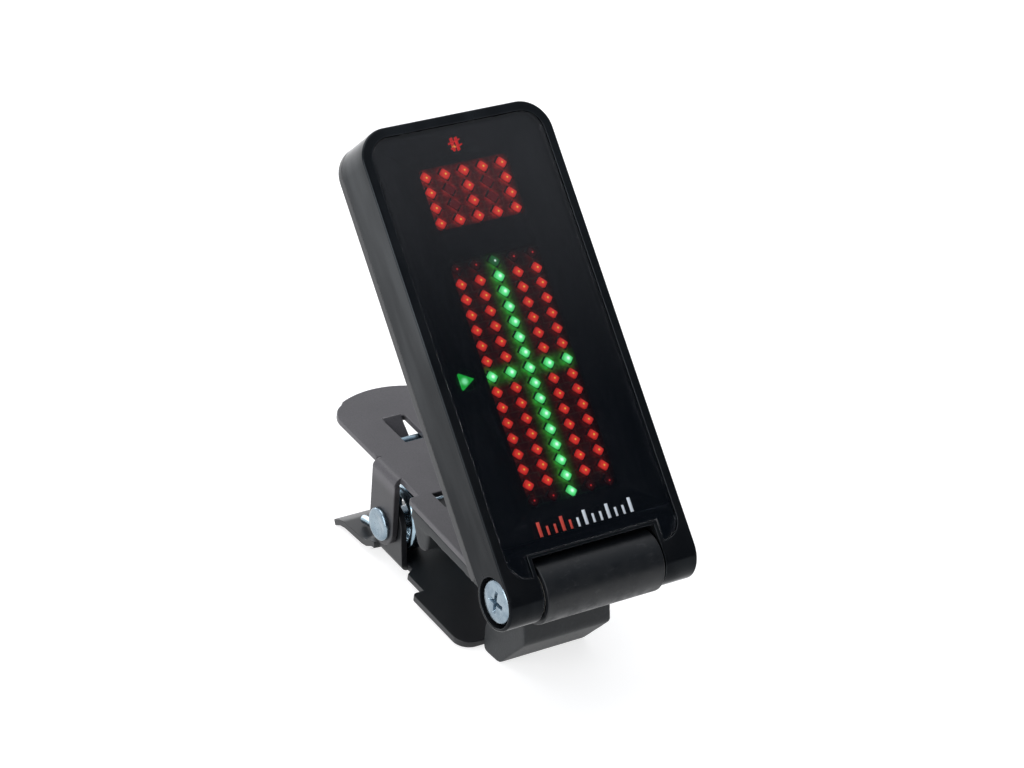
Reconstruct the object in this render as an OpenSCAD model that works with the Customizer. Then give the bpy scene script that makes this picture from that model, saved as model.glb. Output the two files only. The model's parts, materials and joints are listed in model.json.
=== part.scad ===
// Clip-on instrument tuner: a slim display head hinged on the rolled front
// edge of a sprung sheet-metal clip with rubber jaws.
// Row frame: +Z up, +Y towards the clip's finger tabs, X along the hinges.
// Origin: centre of the flat underside of the lower jaw boot.

/* [Head] */
// Width of the display head
head_w = 25.4; // [24.8:0.1:28]
// Height of the head above the hinge axis
head_h = 54.6; // [54:0.2:60]
// Lean of the head back from upright, in degrees
head_lean = 42.2; // [20:1:60]
// Corner radius of the head's upper end
head_corner_r = 3.8; // [3:0.1:4.5]
// Side wall thickness of the housing
wall = 1.1; // [0.9:0.1:1.2]
// Radius of the two hinge knuckles
knuckle_r = 3.35; // [3.3:0.05:3.6]
// Width of the rim left around the lens
lens_rim = 1.2; // [1:0.1:1.3]

/* [Display] */
// Pitch of the lamp columns
col_pitch = 2.54; // [2.3:0.01:2.54]
// Pitch of the lamp rows
row_pitch = 1.837; // [1.6:0.01:1.84]
// Height of the top lamp row above the hinge axis
top_row_z = 48.13; // [47.5:0.1:48.5]
// Length of one lamp chip with its solder ends
lamp_l = 1.6; // [1.3:0.1:1.6]
// Width of one lamp chip
lamp_w = 0.8; // [0.5:0.05:0.8]
// Turn of the lamp chips on the board
lamp_turn = 45; // [0:5:60]

/* [Power] */
// Diameter of the coin cell
cell_d = 20; // [16:1:20]
// Thickness of the coin cell
cell_t = 3.2; // [2.5:0.1:3.2]
// Diameter of the power button
button_d = 6.2; // [5:0.2:7]

/* [Clip] */
// Thickness of the clip's sheet metal
sheet = 0.8; // [0.7:0.05:0.9]
// Half-width of the jaws at their front
jaw_half = 8.8; // [8.2:0.1:9.2]
// Half-width of the upper finger tab
tab_half = 7.15; // [6.8:0.05:7.4]
// Outer radius of the rolled barrel
barrel_r = 3.72; // [3.6:0.02:3.8]
// Half-length of the rolled barrel
barrel_half = 7.9; // [7:0.1:8]
// Height of the hinge axis above the table
hinge_z = 14.5; // [14.5:0.1:15]
// Distance between the facing sides of the two plates
plate_gap = 10.59; // [10.4:0.01:10.7]
// Radius of the clip's pivot pin
pin_r = 1.45; // [1.3:0.05:1.5]
// Radial clearance of a running fit
running = 0.07; // [0.03:0.01:0.1]

/* [Hidden] */

ROUND = 64;
SMALL = 32;
EPS = 0.01;

// the boot's flat underside is the origin, and the hinge axis lies ahead of it
boot_bottom_front = 7.7;
boot_bottom_rear = 11.1;
hinge_y = -(boot_bottom_front + boot_bottom_rear) / 2;

// depths through the head: the front is at negative y
front_y = -3.35;
back_y = 3.4;
seam_y = 2.4;
lens_front_y = front_y + 0.05;
lens_back_y = lens_front_y + 1;
mask_front_y = lens_back_y + 0.08;
mask_back_y = mask_front_y + 0.08;
board_front_y = -1.6;
board_back_y = -1;
tray_front_y = board_back_y + 0.02;
tray_back_y = 2.36;
cell_front_y = tray_back_y - cell_t;

head_half = head_w / 2;
lens_half = head_half - lens_rim;
lens_top = head_h - lens_rim;
lens_corner_r = head_corner_r - lens_rim + 0.1;
lens_leg_bottom = 1.2;
lens_leg_r = 2.5;
lens_notch_z = 3.7;
lens_notch_half = 8.8;
notch_half = 8.3;
notch_z = 3.3;
barrel_room_r = barrel_r + 0.36;
cavity_z = 5.2;
cover_z = 3.3;

// hinge hardware
screw_r = 1.5;
screw_head_r = 2.65;
counterbore_r = 2.95;
counterbore_x = -head_half + 1.4;
nut_r = 2.65;
nut_x = head_half - 2.2;

// battery and button places
cell_z = 27;
tray_z = [16.2, 41];
tray_half = 11.2;
door_half = 10.4;
door_z = [16.4, 40.2];
door_screw_z = 38.9;
door_tab_w = 2;
door_tab_x = [-6.5, 4.5];
door_tab_z = [15.4, 16.9];
button_z = 47.2;
button_travel = 0.3;
button_proud = 0.35;
switch_top_y = 1.05;
case_screw_x = 10.2;
case_screw_z = [8.2, 49.8];
case_screw_r = 0.68;
boss_r = 1.6;

// lamp grid
columns = 5;
rows = 22;
centre_col = 2;
hidden_rows = [4, 5];
bright_row = 13;
lamp_front_y = -2.1;
lamp_base = 0.2;
resin_l = lamp_l - 0.5;

// clip frame: turned about the hinge axis so that both plates lie level in it
clip_slope = 4.05;
upper_top = -barrel_r + sheet;
upper_bottom = -barrel_r;
lower_top = upper_bottom - plate_gap;
lower_bottom = lower_top - sheet;
pivot_y = 31;
pivot_z = -10.33;
ear_outer = 7.8;
ear_inner = ear_outer - sheet;
wall_outer = ear_inner - 0.1;
wall_inner = wall_outer - sheet;
ear_r = 2.6;
lower_ear_r = 3.2;
bend_r = 1;

// upper plate outline, in the clip frame
neck_end = 4;
jaw_start = 5.2;
jaw_end = 25.2;
jaw_rear_half = jaw_half - 0.55;
waist_half = 6.85;
ear_front = 29;
ear_rear = 34.1;
tab_shoulder = 44.4;
tab_end = 47.5;
window = [-2.3, 35.6, 3, 5.2];
tongue_w = 2.5;
tongue_l = 2.8;
tongue_drop = 35;
slot = [2.2, 21.9, 2.95, 3];

// lower plate outline, in the clip frame
lower_half = 8.6;
lower_front = 10.6;
lower_step = 21.8;
lower_waist = 7;
lower_wall_front = 27;
lower_wall_rear = 33.3;
lower_tab_half = 7.3;
tongue_half = 4.6;

// torsion spring
wire_r = 0.55;
coil_r = 3.4;
coil_turns = 3;
coil_inner_x = 2.7;
coil_pitch = 1.13;
crossbar_y = 37.6;
crossbar_z = upper_bottom - wire_r - 0.05;
// each lower leg runs level off its coil, then slopes down to the lower finger tab
leg_bend_y = 34;
leg_end_y = 38;
leg_end_z = -14.95;

// ---- shared shapes --------------------------------------------------------

function arc(c, r, a0, a1, n = 12) =
    [for (i = [0:n]) c + r * [cos(a0 + (a1 - a0) * i / n), sin(a0 + (a1 - a0) * i / n)]];

// an outline mirrored about the Y axis, given its right side from front to rear
function both_sides(right) =
    concat(right, [for (i = [len(right) - 1:-1:0]) [-right[i][0], right[i][1]]]);

function unit(v) = v / norm(v);
function left_of(v) = [-v[1], v[0]];

// the mitre offset of one point of a bent strip
function strip_offset(p, i, t) =
    let (a = unit(p[max(i, 1)] - p[max(i, 1) - 1]))
    let (b = unit(p[min(i + 1, len(p) - 1)] - p[min(i + 1, len(p) - 1) - 1]))
    let (m = unit(left_of(a) + left_of(b)))
    p[i] + m * t / (m * left_of(a));

// a bent sheet of thickness t seen from its edge; p is its lower side
function strip(p, t) =
    concat(p, [for (i = [len(p) - 1:-1:0]) strip_offset(p, i, t)]);

module head_place() {
    translate([0, hinge_y, hinge_z]) rotate([-head_lean, 0, 0]) children();
}

module clip_place() {
    translate([0, hinge_y, hinge_z]) rotate([clip_slope, 0, 0]) children();
}

module boot_place() {
    translate([0, hinge_y, hinge_z]) children();
}

// a cylinder along X from x0 to x1
module rod(r, x0, x1, fn = ROUND) {
    translate([x0, 0, 0]) rotate([0, 90, 0]) cylinder(r = r, h = x1 - x0, $fn = fn);
}

// a cylinder along Y from y0 to y1
module post(r, y0, y1, fn = ROUND) {
    translate([0, y0, 0]) rotate([-90, 0, 0]) cylinder(r = r, h = y1 - y0, $fn = fn);
}

// a shape drawn in X and Z, made solid from y0 to y1
module slab(y0, y1) {
    translate([0, y1, 0]) rotate([90, 0, 0]) linear_extrude(y1 - y0) children();
}

// a shape drawn in Y and Z, made solid from x0 to x1
module side_slab(x0, x1) {
    translate([x0, 0, 0]) rotate([90, 0, 90]) linear_extrude(x1 - x0) children();
}

module block(x0, x1, y0, y1, z0, z1) {
    translate([x0, y0, z0]) cube([x1 - x0, y1 - y0, z1 - z0]);
}

module rounded_box_2d(x0, x1, z0, z1, r) {
    translate([x0 + r, z0]) square([x1 - x0 - 2 * r, z1 - z0]);
    translate([x0, z0 + r]) square([x1 - x0, z1 - z0 - 2 * r]);
    for (x = [x0 + r, x1 - r], z = [z0 + r, z1 - r]) translate([x, z]) circle(r, $fn = SMALL);
}

// outline with square feet and rounded upper corners
module arch_2d(half, z0, z1, r) {
    translate([-half, z0]) square([2 * half, z1 - r - z0]);
    translate([-half + r, z0]) square([2 * half - 2 * r, z1 - z0]);
    for (x = [-half + r, half - r]) translate([x, z1 - r]) circle(r, $fn = ROUND);
}

// ---- display head ---------------------------------------------------------

// outline of the lens: an arch whose lower edge is cut back between two legs beside the barrel
module lens_2d(gap = 0) {
    half = lens_half + gap;
    low = lens_leg_bottom - gap;
    leg_r = lens_leg_r + gap;
    difference() {
        union() {
            arch_2d(half, low + leg_r, lens_top + gap, lens_corner_r + gap);
            translate([-half + leg_r, low]) square([2 * half - 2 * leg_r, leg_r + 1]);
            for (x = [-half + leg_r, half - leg_r])
                translate([x, low + leg_r]) circle(leg_r, $fn = ROUND);
        }
        translate([-lens_notch_half + gap, low - 1])
            square([2 * (lens_notch_half - gap), lens_notch_z - gap - low + 1]);
    }
}

module barrel_room() {
    rod(barrel_room_r, -notch_half, notch_half);
    block(-notch_half, notch_half, -9, 9, -9, notch_z);
}

// the four places of the case screws
module at_case_screws() {
    for (x = [-case_screw_x, case_screw_x], z = case_screw_z) translate([x, 0, z]) children();
}

module front_housing() {
    color([0.05, 0.05, 0.055]) head_place() difference() {
        union() {
            slab(front_y, seam_y) arch_2d(head_half, 0, head_h, head_corner_r);
            rod(knuckle_r, -head_half, head_half);
        }
        barrel_room();
        difference() {
            slab(lens_back_y + 0.1, seam_y + 1)
                arch_2d(head_half - wall, cavity_z, head_h - wall, head_corner_r - wall);
            at_case_screws() post(boss_r, mask_back_y + 0.04, seam_y, SMALL);
        }
        at_case_screws() post(case_screw_r, board_back_y, seam_y + 1, SMALL);
        slab(front_y - 1, lens_back_y + 0.2) lens_2d(0.04);
        rod(screw_r + 0.02, -head_half - 1, head_half + 1);
        rod(counterbore_r, -head_half - 1, counterbore_x);
        rod(nut_r, nut_x, head_half + 1, 6);
    }
}

module lens_window() {
    color([0.02, 0.02, 0.025, 0.6]) head_place()
        slab(lens_front_y, lens_back_y) lens_2d();
}

module display_mask() {
    margin = 0.9;
    left = -centre_col * col_pitch - margin;
    right = centre_col * col_pitch + margin;
    upper = [top_row_z - 3 * row_pitch - margin, top_row_z + margin];
    lower = [top_row_z - (rows - 1) * row_pitch - margin, top_row_z - 6 * row_pitch + margin];
    color([0.03, 0.03, 0.03]) head_place() slab(mask_front_y, mask_back_y) difference() {
        arch_2d(head_half - wall - 0.1, cavity_z + 0.1, head_h - wall - 0.1, 2.4);
        for (z = [upper, lower]) rounded_box_2d(left, right, z[0], z[1], 0.6);
        translate([0, 51.3]) circle(1.1, $fn = SMALL);
        translate([-8.6, 24.5]) circle(1.3, $fn = SMALL);
    }
}

module main_board() {
    color([0.04, 0.14, 0.09]) head_place() slab(board_front_y, board_back_y) difference() {
        rounded_box_2d(-10.9, 10.9, cavity_z + 0.4, head_h - wall - 0.3, 1.5);
        for (x = [-case_screw_x, case_screw_x], z = case_screw_z)
            translate([x, z]) circle(boss_r + 0.1, $fn = SMALL);
    }
}

// which lamps of the grid glow, and in what colour
function is_hidden(row) = row == hidden_rows[0] || row == hidden_rows[1];
function is_green(col, row) = row > hidden_rows[1] && (col == centre_col || row == bright_row);
function is_red(col, row) =
    row == 0 || row == 3 ? true
    : row < 3 ? col % 2 == 0
    : row > 6 && row < rows - 1 && !is_green(col, row);
function is_unlit(col, row) = !is_hidden(row) && !is_green(col, row) && !is_red(col, row);

// a surface-mount lamp: a flat base with its solder ends, and clear resin over its middle
module lamp(col, row) {
    base_y = board_front_y - lamp_base;
    translate([(centre_col - col) * col_pitch, 0, top_row_z - row * row_pitch])
        rotate([0, lamp_turn, 0]) {
            block(-lamp_l / 2, lamp_l / 2, base_y, board_front_y, -lamp_w / 2, lamp_w / 2);
            block(-resin_l / 2, resin_l / 2, lamp_front_y, base_y + EPS, -lamp_w / 2, lamp_w / 2);
        }
}

module red_lamps() {
    color([0.9, 0.08, 0.06]) head_place()
        for (col = [0:columns - 1], row = [0:rows - 1]) if (is_red(col, row)) lamp(col, row);
}

module green_lamps() {
    color([0.1, 0.9, 0.25]) head_place()
        for (col = [0:columns - 1], row = [0:rows - 1]) if (is_green(col, row)) lamp(col, row);
}

module unlit_lamps() {
    color([0.25, 0.06, 0.06]) head_place()
        for (col = [0:columns - 1], row = [0:rows - 1]) if (is_unlit(col, row)) lamp(col, row);
}

// a sharp sign: two uprights crossed by two bars
module sharp_sign_lamp() {
    color([0.9, 0.1, 0.08]) head_place() translate([0, 0, 51.3])
        slab(lamp_front_y, board_front_y) {
            for (x = [-0.35, 0.35]) translate([x - 0.11, -0.8]) square([0.22, 1.6]);
            for (z = [-0.3, 0.3]) translate([-0.75, z - 0.11]) square([1.5, 0.22]);
        }
}

module pointer_lamp() {
    color([0.1, 0.9, 0.25]) head_place() translate([-8.6, 0, 24.5])
        slab(lamp_front_y, board_front_y) circle(1.15, $fn = 3);
}

module board_chips() {
    color([0.06, 0.06, 0.065]) head_place() {
        block(-8.4, -4.2, board_back_y, board_back_y + 0.9, 44.2, 48.4);
        block(4.6, 7.4, board_back_y, board_back_y + 0.9, 45, 48.4);
        block(-7.2, -4.8, board_back_y, board_back_y + 0.6, 12.2, 14.6);
        for (i = [0:3]) block(-3.4 + 1.7 * i, -2.6 + 1.7 * i, board_back_y, board_back_y + 0.5, 42, 43.4);
        for (i = [0:2]) block(3.6 + 1.6 * i, 4.4 + 1.6 * i, board_back_y, board_back_y + 0.5, 12.6, 14);
    }
}

module tactile_switch() {
    color([0.75, 0.76, 0.78]) head_place() translate([0, 0, button_z]) {
        block(-2.25, 2.25, board_back_y, 0.4, -2.25, 2.25);
        post(1.1, 0.4 - EPS, switch_top_y, SMALL);
    }
}

module battery_tray() {
    color([0.09, 0.09, 0.1]) head_place() difference() {
        slab(tray_front_y, tray_back_y)
            rounded_box_2d(-tray_half, tray_half, tray_z[0], tray_z[1], 1);
        translate([0, 0, cell_z]) post(cell_d / 2 + 0.15, cell_front_y + 0.58, back_y);
        translate([0, 0, cell_z]) post(cell_d / 2 - 1.1, tray_front_y - 1, back_y);
        translate([0, 0, door_screw_z]) post(0.78, 0, back_y, SMALL);
        block(cell_d / 2 - 0.4, cell_d / 2 + 0.6, cell_front_y, back_y, cell_z - 3.2, cell_z + 3.2);
        for (x = door_tab_x) block(x - 0.1, x + door_tab_w + 0.1, 1.8, back_y,
            tray_z[0] - 1, door_tab_z[1] + 0.1);
    }
}

module coin_cell() {
    color([0.78, 0.79, 0.8]) head_place() translate([0, 0, cell_z]) {
        post(cell_d / 2 - 1.2, cell_front_y, cell_front_y + 0.61);
        post(cell_d / 2, cell_front_y + 0.6, tray_back_y);
    }
}

module cell_contact_front() {
    color([0.8, 0.72, 0.45]) head_place() translate([0, 0, cell_z])
        block(-5.5, 5.5, board_back_y, cell_front_y, -1.6, 1.6);
}

module cell_contact_side() {
    color([0.8, 0.72, 0.45]) head_place() translate([cell_d / 2, 0, cell_z])
        block(0, 0.16, cell_front_y + 0.1, tray_back_y, -3, 3);
}

module pickup_disc() {
    color([0.82, 0.68, 0.35]) head_place() translate([0, 0, 10.3]) {
        post(4.6, 2.15, seam_y);
        post(3.2, 1.95, 2.15 + EPS);
    }
}

module back_cover() {
    color([0.05, 0.05, 0.055]) head_place() difference() {
        slab(seam_y, back_y) arch_2d(head_half, cover_z, head_h, head_corner_r);
        slab(seam_y - 1, back_y + 1)
            rounded_box_2d(-door_half - 0.06, door_half + 0.06, door_z[0] - 0.06, door_z[1] + 0.06, 1.5);
        rod(barrel_room_r, -notch_half, notch_half);
        translate([0, 0, button_z]) post(button_d / 2 + 0.1, seam_y - 1, back_y + 1);
        at_case_screws() post(case_screw_r, seam_y - 1, back_y + 1, SMALL);
        at_case_screws() post(1.35, back_y - 0.5, back_y + 1, SMALL);
    }
}

module battery_door() {
    color([0.05, 0.05, 0.055]) head_place() difference() {
        union() {
            slab(seam_y + 0.02, back_y)
                rounded_box_2d(-door_half, door_half, door_z[0], door_z[1], 1.45);
            for (x = door_tab_x) block(x, x + door_tab_w, seam_y - 0.5, seam_y - 0.02,
                door_tab_z[0], door_tab_z[1]);
            for (x = door_tab_x) block(x, x + door_tab_w, seam_y - 0.5, seam_y + 0.1,
                door_z[0] + 0.05, door_tab_z[1]);
        }
        translate([0, 0, door_screw_z]) post(0.78, 0, back_y + 1, SMALL);
        translate([0, 0, door_screw_z]) post(1.25, back_y - 0.5, back_y + 1, SMALL);
    }
}

module countersunk_screw(tip_y, r, head_r) {
    difference() {
        union() {
            post(r, tip_y, back_y - 0.4, SMALL);
            post(head_r, back_y - 0.5, back_y - 0.06, SMALL);
        }
        for (a = [0, 90]) rotate([0, a, 0]) block(-0.7, 0.7, back_y - 0.35, back_y, -0.15, 0.15);
    }
}

module door_screw() {
    color([0.7, 0.71, 0.73]) head_place() translate([0, 0, door_screw_z])
        countersunk_screw(0.2, 0.78, 1.2);
}

module case_screws() {
    color([0.12, 0.12, 0.13]) head_place()
        at_case_screws() countersunk_screw(board_back_y + 0.1, case_screw_r, 1.3);
}

module power_button() {
    color([0.1, 0.1, 0.105]) head_place() translate([0, 0, button_z]) {
        post(button_d / 2, switch_top_y + button_travel + 0.05, back_y + button_proud);
        post(button_d / 2 + 0.6, seam_y - 0.65, seam_y - 0.1);
    }
}

// ---- hinge hardware -------------------------------------------------------

module hinge_screw() {
    color([0.75, 0.78, 0.82]) head_place() difference() {
        union() {
            rod(screw_head_r, -head_half + 0.12, counterbore_x);
            rod(screw_r, counterbore_x - EPS, head_half - 0.5);
        }
        for (a = [45, 135]) rotate([a, 0, 0])
            block(-head_half - 1, -head_half + 1, -1.6, 1.6, -0.36, 0.36);
    }
}

module hinge_nut() {
    color([0.7, 0.73, 0.77]) head_place() difference() {
        rod(nut_r - 0.03, nut_x, head_half - 0.25, 6);
        rod(screw_r, 0, head_half + 1);
    }
}

module hinge_washers() {
    color([0.55, 0.57, 0.6]) head_place() for (side = [0, 1]) mirror([side, 0, 0]) difference() {
        rod(3.1, barrel_half + 0.1, notch_half);
        rod(screw_r + 0.02, 0, head_half);
    }
}

module hinge_bush() {
    color([0.85, 0.85, 0.8]) clip_place() difference() {
        rod(barrel_r - sheet, -barrel_half, barrel_half);
        rod(screw_r + running, -barrel_half - 1, barrel_half + 1);
    }
}

// ---- clip -----------------------------------------------------------------

// plan of the upper plate, from the rolled barrel back to the finger tab
upper_right_side = concat(
    [[barrel_half, 0], [barrel_half, neck_end]],
    arc([jaw_half - 1, jaw_start + 1], 1, -60, 0, 6),
    arc([jaw_rear_half - 0.5, jaw_end - 0.5], 0.5, 0, 90, 6),
    [[waist_half, jaw_end], [waist_half, ear_front], [ear_outer - bend_r, ear_front]],
    [[ear_outer - bend_r, ear_rear], [tab_half, ear_rear + 0.3]],
    arc([tab_half - 3.4, tab_shoulder - 1.6], 3.4, 0, 62, 10),
    arc([0, tab_end - 11], 11, 64, 90, 8));

module upper_plan_2d() {
    difference() {
        polygon(both_sides(upper_right_side));
        translate([window[0], window[1]]) square([window[2], window[3]]);
        for (side = [-1, 1]) translate([side > 0 ? slot[0] : -slot[0] - slot[2], slot[1]])
            square([slot[2], slot[3]]);
    }
}

// side view of an ear: round at the pivot, upright in the row frame
module upper_ear_2d() {
    rise = upper_bottom - 0.2 - pivot_z;
    shift = rise * tan(clip_slope);
    translate([pivot_y, pivot_z]) circle(ear_r, $fn = ROUND);
    polygon([[pivot_y - ear_r, pivot_z], [pivot_y + ear_r, pivot_z],
        [pivot_y + ear_r + shift, pivot_z + rise], [pivot_y - ear_r + shift, pivot_z + rise]]);
}

module upper_bend_2d() {
    translate([ear_outer - bend_r, upper_top - bend_r]) intersection() {
        difference() {
            circle(bend_r, $fn = ROUND);
            circle(bend_r - sheet, $fn = SMALL);
        }
        square(bend_r + 1);
    }
}

module upper_jaw_plate() {
    color([0.3, 0.28, 0.29]) clip_place() difference() {
        union() {
            difference() {
                rod(barrel_r, -barrel_half, barrel_half);
                rod(barrel_r - sheet, -barrel_half - 1, barrel_half + 1);
            }
            translate([0, 0, upper_bottom]) linear_extrude(sheet) upper_plan_2d();
            for (side = [0, 1]) mirror([side, 0, 0]) {
                side_slab(ear_inner, ear_outer) upper_ear_2d();
                translate([0, ear_rear, 0]) rotate([90, 0, 0])
                    linear_extrude(ear_rear - ear_front) upper_bend_2d();
            }
            // the tongue pressed down out of the window, behind the spring
            translate([window[0], window[1] + window[3], upper_top]) rotate([180 + tongue_drop, 0, 0])
                translate([0, -0.3, 0]) cube([tongue_w, tongue_l + 0.3, sheet]);
        }
        translate([0, pivot_y, pivot_z]) rod(pin_r, -ear_outer - 1, ear_outer + 1);
        rod(barrel_r - sheet, -barrel_half - 1, barrel_half + 1);
    }
}

// plan of the rubber pad under the upper jaw
upper_pad_right_side = concat(
    arc([6.4, 5], 1.4, -90, -20, 5),
    [[jaw_half - 0.25, 7.5], [jaw_rear_half - 0.05, jaw_end - 1.4]],
    arc([jaw_rear_half - 0.75, jaw_end - 1.1], 0.7, 20, 90, 5));

module upper_rib_2d() {
    polygon(concat([[20.4, upper_bottom - 1], [20.4, -6.8]],
        arc([21.7, -6.8], 1.3, 180, 325, 10), [[24.4, upper_bottom - 1]]));
}

module upper_jaw_pad() {
    thick = 1.5;
    color([0.16, 0.16, 0.17]) clip_place() {
        translate([0, 0, upper_bottom - thick]) linear_extrude(thick)
            polygon(both_sides(upper_pad_right_side));
        side_slab(-jaw_rear_half + 0.1, jaw_rear_half - 0.1) upper_rib_2d();
    }
}

module pivot_rivet() {
    color([0.75, 0.78, 0.82]) clip_place() translate([0, pivot_y, pivot_z]) {
        rod(pin_r, -ear_outer - EPS, ear_outer + EPS);
        for (side = [0, 1]) mirror([side, 0, 0]) rod(2.05, ear_outer, ear_outer + 0.55);
    }
}

// wire from a to b in the Y-Z plane, at one X
module wire(x, a, b) {
    angle = atan2(b[1] - a[1], b[0] - a[0]);
    translate([x, a[0], a[1]]) rotate([angle, 0, 0]) post(wire_r, 0, norm(b - a), 24);
}

module torsion_spring() {
    outer_x = coil_inner_x + (coil_turns - 1) * coil_pitch;
    color([0.7, 0.76, 0.84]) clip_place() {
        for (side = [0, 1]) mirror([side, 0, 0]) {
            for (i = [0:coil_turns - 1])
                translate([coil_inner_x + i * coil_pitch, pivot_y, pivot_z]) rotate([0, 90, 0])
                    rotate_extrude($fn = 48) translate([coil_r, 0]) circle(wire_r, $fn = 24);
            wire(coil_inner_x, [pivot_y, pivot_z + coil_r], [crossbar_y, crossbar_z]);
            wire(outer_x, [pivot_y, pivot_z - coil_r], [leg_bend_y, pivot_z - coil_r]);
            wire(outer_x, [leg_bend_y - 0.1, pivot_z - coil_r], [leg_end_y, leg_end_z]);
        }
        translate([0, crossbar_y, crossbar_z])
            rod(wire_r, -coil_inner_x - 0.3, coil_inner_x + 0.3, 24);
    }
}

// plan of the lower jaw, in front of its side walls
lower_right_side = concat(
    [[tongue_half, lower_front - 1.5], [tongue_half, lower_front]],
    arc([lower_half - 2, lower_front + 2], 2, -90, 0, 10),
    arc([lower_half - 0.6, lower_step - 0.6], 0.6, 0, 90, 5),
    [[lower_waist, lower_step], [lower_waist, 25.4], [wall_outer - bend_r, 26.2]],
    [[wall_outer - bend_r, lower_wall_rear]]);

module lower_ear_2d() {
    foot = lower_bottom + bend_r - EPS;
    translate([pivot_y, pivot_z]) circle(lower_ear_r, $fn = ROUND);
    polygon([[pivot_y - lower_ear_r, pivot_z], [pivot_y + lower_ear_r, pivot_z],
        [lower_wall_rear, foot], [lower_wall_front, foot]]);
}

module lower_bend_2d() {
    translate([wall_outer - bend_r, lower_bottom + bend_r]) intersection() {
        difference() {
            circle(bend_r, $fn = ROUND);
            circle(bend_r - sheet, $fn = SMALL);
        }
        translate([0, -bend_r - 1]) square([bend_r + 1, bend_r + 1]);
    }
}

// the lower finger tab steps down behind the side walls and ends in a turned-down lip
lower_tab_line = [[32.6, lower_bottom], [33.3, lower_bottom - 0.15], [34.4, -15.95],
    [35.4, -16.2], [39.4, -16.5], [40.5, -16.8], [41.6, -17.46]];

// the tongue that the boot is moulded on turns up inside it
lower_tongue_line = [[lower_front - 1.2, lower_bottom], [8.4, lower_bottom + 0.2],
    [7.6, lower_bottom + 1.2], [6.6, -8.6]];

module tongue_solid() {
    side_slab(-tongue_half, tongue_half)
        polygon(strip([for (i = [3:-1:0]) lower_tongue_line[i]], sheet));
}

module lower_jaw_plate() {
    color([0.13, 0.13, 0.14]) clip_place() difference() {
        union() {
            translate([0, 0, lower_bottom]) linear_extrude(sheet)
                polygon(both_sides(lower_right_side));
            side_slab(-lower_tab_half, lower_tab_half) polygon(strip(lower_tab_line, sheet));
            tongue_solid();
            for (side = [0, 1]) mirror([side, 0, 0]) {
                side_slab(wall_inner, wall_outer) lower_ear_2d();
                translate([0, lower_wall_rear, 0]) rotate([90, 0, 0])
                    linear_extrude(lower_wall_rear - lower_wall_front) lower_bend_2d();
            }
        }
        translate([0, pivot_y, pivot_z]) rod(pin_r + running, -ear_outer, ear_outer);
    }
}

// side view of the boot, with its bevelled toe and flat underside
boot_side = concat(
    arc([4.5, -6.3], 1, 175, 90, 5),
    arc([8.9, -6], 1, 90, 10, 5),
    [[11.15, -11.6]],
    arc([boot_bottom_rear - 0.6, -hinge_z + 0.6], 0.6, 0, -90, 4),
    arc([boot_bottom_front + 0.3, -hinge_z + 0.6], 0.6, -90, -130, 3),
    arc([3.9, -9.1], 0.9, -130, -185, 4));

module lower_jaw_boot() {
    color([0.2, 0.2, 0.21]) difference() {
        boot_place() side_slab(-6, 6) polygon(boot_side);
        clip_place() tongue_solid();
        clip_place() block(-tongue_half, tongue_half, lower_front - 2.3, 14, lower_bottom, lower_top);
    }
}

front_housing();
lens_window();
display_mask();
main_board();
red_lamps();
green_lamps();
unlit_lamps();
sharp_sign_lamp();
pointer_lamp();
board_chips();
tactile_switch();
battery_tray();
coin_cell();
cell_contact_front();
cell_contact_side();
pickup_disc();
back_cover();
battery_door();
door_screw();
case_screws();
power_button();
hinge_screw();
hinge_nut();
hinge_washers();
hinge_bush();
upper_jaw_plate();
upper_jaw_pad();
pivot_rivet();
torsion_spring();
lower_jaw_plate();
lower_jaw_boot();
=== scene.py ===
"""Looks of a clip-on tuner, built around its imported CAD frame. Lengths are in metres."""
import json
import math

import bmesh
import bpy
from mathutils import Matrix, Vector


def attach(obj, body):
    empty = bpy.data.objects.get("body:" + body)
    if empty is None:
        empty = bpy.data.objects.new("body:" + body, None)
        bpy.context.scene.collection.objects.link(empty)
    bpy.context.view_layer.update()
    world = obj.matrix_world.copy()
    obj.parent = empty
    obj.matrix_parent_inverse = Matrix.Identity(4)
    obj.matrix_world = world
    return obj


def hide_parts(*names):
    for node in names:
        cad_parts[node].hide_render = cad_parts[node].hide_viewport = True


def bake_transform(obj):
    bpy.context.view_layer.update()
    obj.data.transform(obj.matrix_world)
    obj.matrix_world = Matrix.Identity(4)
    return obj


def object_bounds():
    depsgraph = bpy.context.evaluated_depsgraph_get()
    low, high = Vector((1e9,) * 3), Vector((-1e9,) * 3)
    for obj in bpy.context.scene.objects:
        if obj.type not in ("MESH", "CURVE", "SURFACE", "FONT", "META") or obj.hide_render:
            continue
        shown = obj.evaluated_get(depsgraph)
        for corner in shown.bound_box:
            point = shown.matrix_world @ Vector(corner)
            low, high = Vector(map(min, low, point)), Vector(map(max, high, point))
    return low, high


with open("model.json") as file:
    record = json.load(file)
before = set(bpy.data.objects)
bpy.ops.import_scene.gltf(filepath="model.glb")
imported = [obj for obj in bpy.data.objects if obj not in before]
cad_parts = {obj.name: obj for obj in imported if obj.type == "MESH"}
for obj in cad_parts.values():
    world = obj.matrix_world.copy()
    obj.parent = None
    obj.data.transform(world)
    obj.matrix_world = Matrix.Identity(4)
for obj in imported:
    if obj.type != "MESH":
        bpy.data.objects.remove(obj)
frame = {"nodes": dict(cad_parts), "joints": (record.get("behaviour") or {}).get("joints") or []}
cad_low, cad_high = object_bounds()

MM = 0.001

# ---- places, read from the frame ---------------------------------------------

joints = {joint["name"]: joint for joint in frame["joints"]}
HINGE = Vector(joints["head_hinge"]["pos_m"])
PIVOT = Vector(joints["jaw_hinge"]["pos_m"])
PRESS = Vector(joints["button_press"]["axis"])
HEAD_LEAN = math.atan2(PRESS.z, -PRESS.y)
CLIP_SLOPE = math.radians(4.05)

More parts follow.
